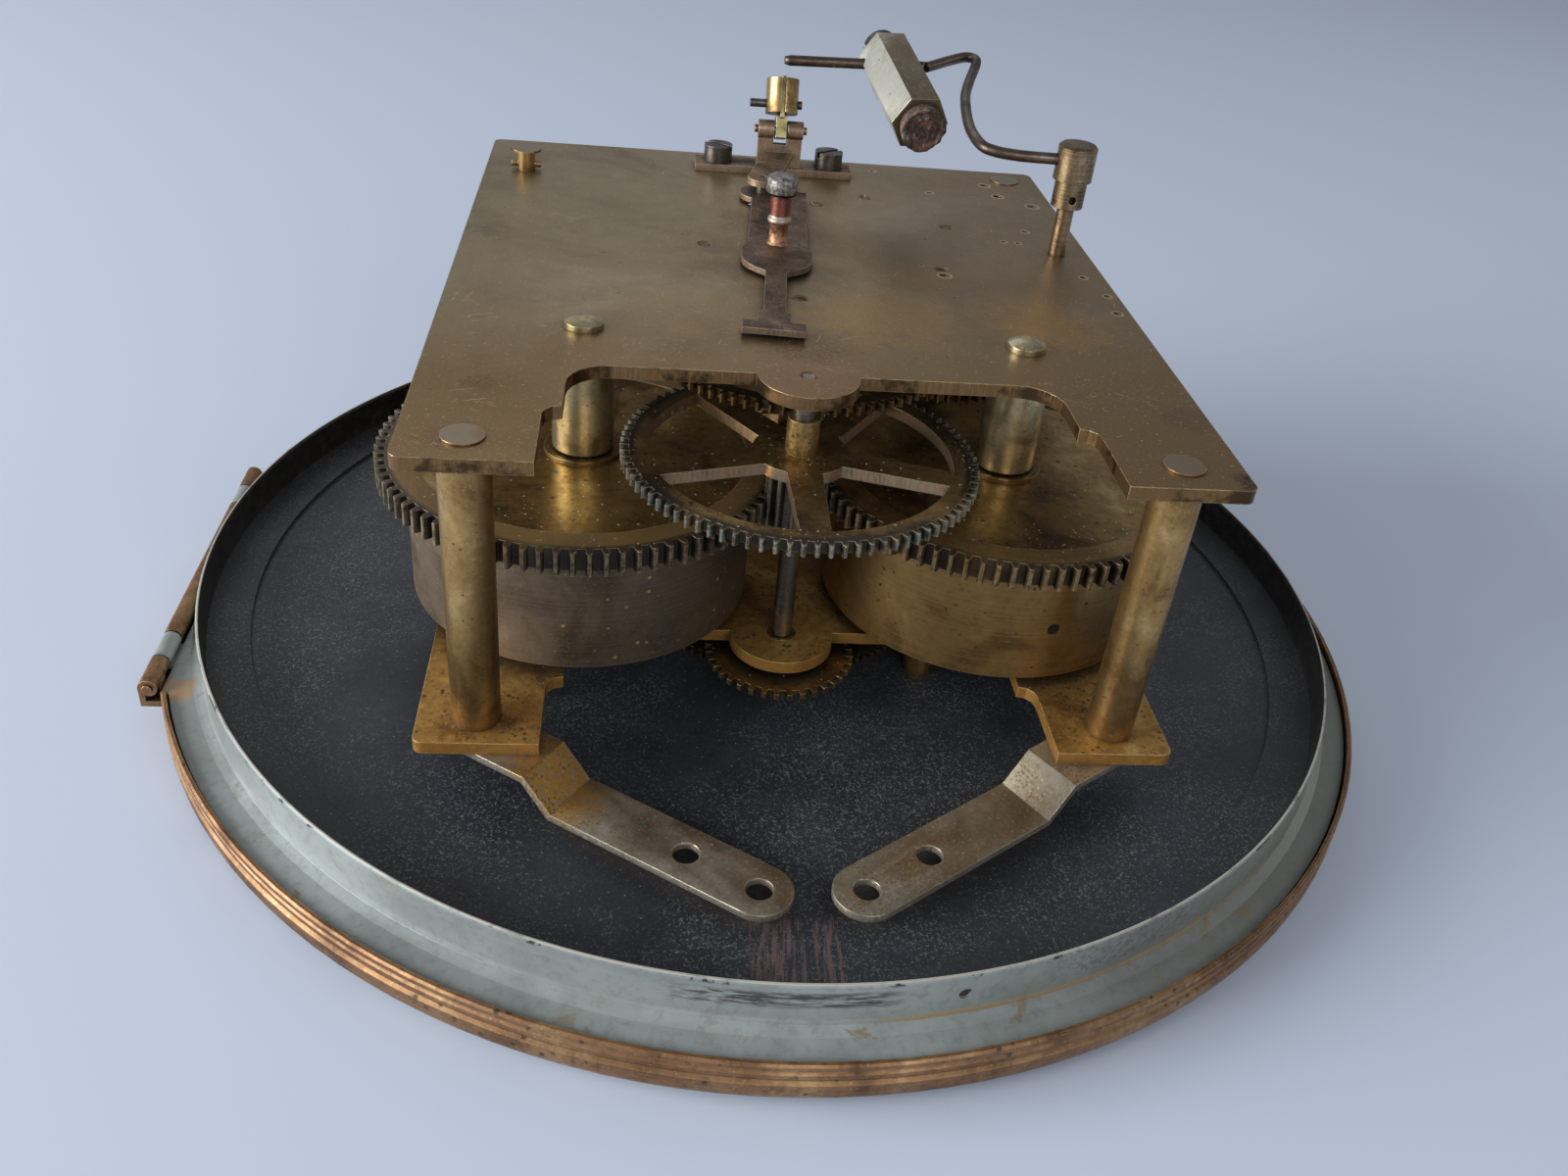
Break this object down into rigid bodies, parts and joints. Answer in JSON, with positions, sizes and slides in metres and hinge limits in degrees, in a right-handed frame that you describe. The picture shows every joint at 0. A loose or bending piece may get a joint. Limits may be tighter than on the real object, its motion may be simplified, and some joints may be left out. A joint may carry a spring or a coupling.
{
  "type": "clock movement",
  "caption": "Spring-driven striking wall-clock movement between brass plates, with dial, hinged glazed bezel, hammer and suspension.",
  "frame": {"origin": "on the centre arbor, in the plane that the bezel's front rests on", "axes": "+Z along the arbors towards the clock's back, +Y towards twelve o'clock, +X to the striking side"},
  "size_m": [0.2026, 0.205, 0.0908],
  "materials": {
    "plate_brass": "tarnished brass sheet",
    "turned_brass": "turned brass",
    "barrel_brass": "brown tarnished brass",
    "wheel_brass": "oily brass",
    "nickelled_steel": "worn nickel plating",
    "arbor_steel": "polished steel",
    "spring_steel": "blued spring steel",
    "screw_steel": "turned steel",
    "dark_steel": "brown rusted steel",
    "copper": "red copper alloy",
    "pale_brass": "pale polished brass",
    "leather": "worn leather",
    "dial_black": "black enamel with dust",
    "hand_black": "black paint",
    "ring_paint": "worn grey-green paint",
    "bezel_brass": "copper-brown tarnished brass",
    "glass": "clear glass"
  },
  "bodies": {
    "frame": {"front_plate": "plate_brass", "rear_plate": "plate_brass", "pillars": "turned_brass", "pillar_screws": "screw_steel", "mounting_strap_left": "nickelled_steel", "mounting_strap_right": "nickelled_steel", "corner_post": "turned_brass", "barrel_bushes": "turned_brass", "click_springs": "arbor_steel", "click_screws": "screw_steel", "suspension_bridge": "dark_steel", "bridge_screws": "screw_steel", "suspension_pin": "turned_brass", "minute_stud": "turned_brass", "dial_ring": "ring_paint", "dial_plate": "dial_black", "dial_feet": "turned_brass", "dial_screws": "screw_steel", "hinge_pin": "bezel_brass"},
    "time_barrel": {"time_barrel": "barrel_brass", "time_barrel_cap": "barrel_brass", "time_mainspring": "spring_steel"},
    "time_winding": {"time_winding_arbor": "arbor_steel", "time_ratchet": "arbor_steel"},
    "time_click": {"time_click": "arbor_steel"},
    "strike_barrel": {"strike_barrel": "barrel_brass", "strike_barrel_cap": "barrel_brass", "strike_mainspring": "spring_steel"},
    "strike_winding": {"strike_winding_arbor": "arbor_steel", "strike_ratchet": "arbor_steel"},
    "strike_click": {"strike_click": "arbor_steel"},
    "centre": {"centre_wheel": "wheel_brass", "cannon_wheel": "wheel_brass", "minute_hand": "hand_black"},
    "second": {"second_arbor": "arbor_steel", "second_wheel": "wheel_brass"},
    "third": {"third_wheel": "wheel_brass"},
    "escape": {"escape_wheel": "wheel_brass"},
    "minute": {"minute_wheel": "wheel_brass"},
    "hour": {"hour_wheel": "wheel_brass", "hour_hand": "hand_black"},
    "anchor": {"anchor": "arbor_steel", "crutch": "dark_steel", "crutch_pin": "copper"},
    "suspension": {"suspension_spring": "spring_steel", "suspension_block": "turned_brass", "block_pin": "arbor_steel"},
    "locking": {"locking_wheel": "wheel_brass"},
    "pin": {"pin_wheel": "wheel_brass"},
    "warning": {"warning_wheel": "wheel_brass"},
    "fly": {"fly": "wheel_brass"},
    "release": {"release_lever": "arbor_steel", "lifting_arm": "arbor_steel"},
    "hammer": {"hammer_arbor": "turned_brass", "hammer_wire": "dark_steel", "hammer_head": "pale_brass", "hammer_leather": "leather", "hammer_screw": "screw_steel"},
    "bezel": {"bezel": "bezel_brass", "glass": "glass"}
  },
  "joints": [
    {"name": "centre_arbor", "type": "hinge", "parent": "frame", "child": "centre", "pos_m": [0, 0, 0.04], "axis": [0, 0, 1], "continuous": true},
    {"name": "second_arbor", "type": "hinge", "parent": "frame", "child": "second", "pos_m": [-0.0012, -0.0286, 0.04], "axis": [0, 0, 1], "continuous": true},
    {"name": "time_barrel_turn", "type": "hinge", "parent": "frame", "child": "time_barrel", "pos_m": [-0.0334, -0.0155, 0.03], "axis": [0, 0, 1], "continuous": true},
    {"name": "third_arbor", "type": "hinge", "parent": "frame", "child": "third", "pos_m": [-0.0146, 0.0223, 0.04], "axis": [0, 0, 1], "continuous": true},
    {"name": "escape_arbor", "type": "hinge", "parent": "frame", "child": "escape", "pos_m": [-0.0033, 0.031, 0.04], "axis": [0, 0, 1], "continuous": true},
    {"name": "minute_wheel_turn", "type": "hinge", "parent": "frame", "child": "minute", "pos_m": [-0.0012, -0.0286, 0.012], "axis": [0, 0, 1], "continuous": true},
    {"name": "hour_wheel_turn", "type": "hinge", "parent": "frame", "child": "hour", "pos_m": [0, 0, 0.01], "axis": [0, 0, 1], "continuous": true},
    {"name": "locking_arbor", "type": "hinge", "parent": "frame", "child": "locking", "pos_m": [0.0307, 0.0386, 0.04], "axis": [0, 0, 1], "continuous": true},
    {"name": "pin_arbor", "type": "hinge", "parent": "frame", "child": "pin", "pos_m": [0.0259, 0.0169, 0.04], "axis": [0, 0, 1], "continuous": true},
    {"name": "strike_barrel_turn", "type": "hinge", "parent": "frame", "child": "strike_barrel", "pos_m": [0.0334, -0.0155, 0.03], "axis": [0, 0, 1], "continuous": true},
    {"name": "warning_arbor", "type": "hinge", "parent": "frame", "child": "warning", "pos_m": [0.0175, 0.0531, 0.04], "axis": [0, 0, 1], "continuous": true},
    {"name": "fly_arbor", "type": "hinge", "parent": "frame", "child": "fly", "pos_m": [0.0072, 0.047, 0.04], "axis": [0, 0, 1], "continuous": true},
    {"name": "time_winding_turn", "type": "hinge", "parent": "frame", "child": "time_winding", "pos_m": [-0.0334, -0.0155, 0.015], "axis": [0, 0, 1], "continuous": true},
    {"name": "strike_winding_turn", "type": "hinge", "parent": "frame", "child": "strike_winding", "pos_m": [0.0334, -0.0155, 0.015], "axis": [0, 0, 1], "continuous": true},
    {"name": "time_click_swing", "type": "hinge", "parent": "frame", "child": "time_click", "pos_m": [-0.0271, -0.00459, 0.015], "axis": [0, 0, 1], "range_deg": [-10, 0]},
    {"name": "strike_click_swing", "type": "hinge", "parent": "frame", "child": "strike_click", "pos_m": [0.0397, -0.00459, 0.015], "axis": [0, 0, 1], "range_deg": [-10, 0]},
    {"name": "anchor_swing", "type": "hinge", "parent": "frame", "child": "anchor", "pos_m": [-0.0031, 0.0473, 0.04], "axis": [0, 0, 1], "range_deg": [-3, 3]},
    {"name": "suspension_swing", "type": "hinge", "parent": "frame", "child": "suspension", "pos_m": [0.001, 0.0643, 0.0721], "axis": [1, 0, 0], "range_deg": [-20, 112]},
    {"name": "release_swing", "type": "hinge", "parent": "frame", "child": "release", "pos_m": [0.0448, 0.0587, 0.04], "axis": [0, 0, 1], "range_deg": [-3, 1]},
    {"name": "hammer_swing", "type": "hinge", "parent": "frame", "child": "hammer", "pos_m": [0.049, 0.0275, 0.06], "axis": [0, 0, 1], "range_deg": [-9, 3]},
    {"name": "bezel_hinge", "type": "hinge", "parent": "frame", "child": "bezel", "pos_m": [-0.0986, 0, 0.008], "axis": [0, 1, 0], "range_deg": [0, 100]}
  ],
  "couplings": [
    {"joint": "second_arbor", "follows": "centre_arbor", "ratio": -0.11364},
    {"joint": "time_barrel_turn", "follows": "centre_arbor", "ratio": 0.016234},
    {"joint": "third_arbor", "follows": "centre_arbor", "ratio": -10},
    {"joint": "escape_arbor", "follows": "centre_arbor", "ratio": 100},
    {"joint": "minute_wheel_turn", "follows": "centre_arbor", "ratio": -1.5},
    {"joint": "hour_wheel_turn", "follows": "centre_arbor", "ratio": 0.083333},
    {"joint": "pin_arbor", "follows": "locking_arbor", "ratio": -0.11111},
    {"joint": "strike_barrel_turn", "follows": "locking_arbor", "ratio": 0.010582},
    {"joint": "warning_arbor", "follows": "locking_arbor", "ratio": -8},
    {"joint": "fly_arbor", "follows": "locking_arbor", "ratio": 64}
  ]
}
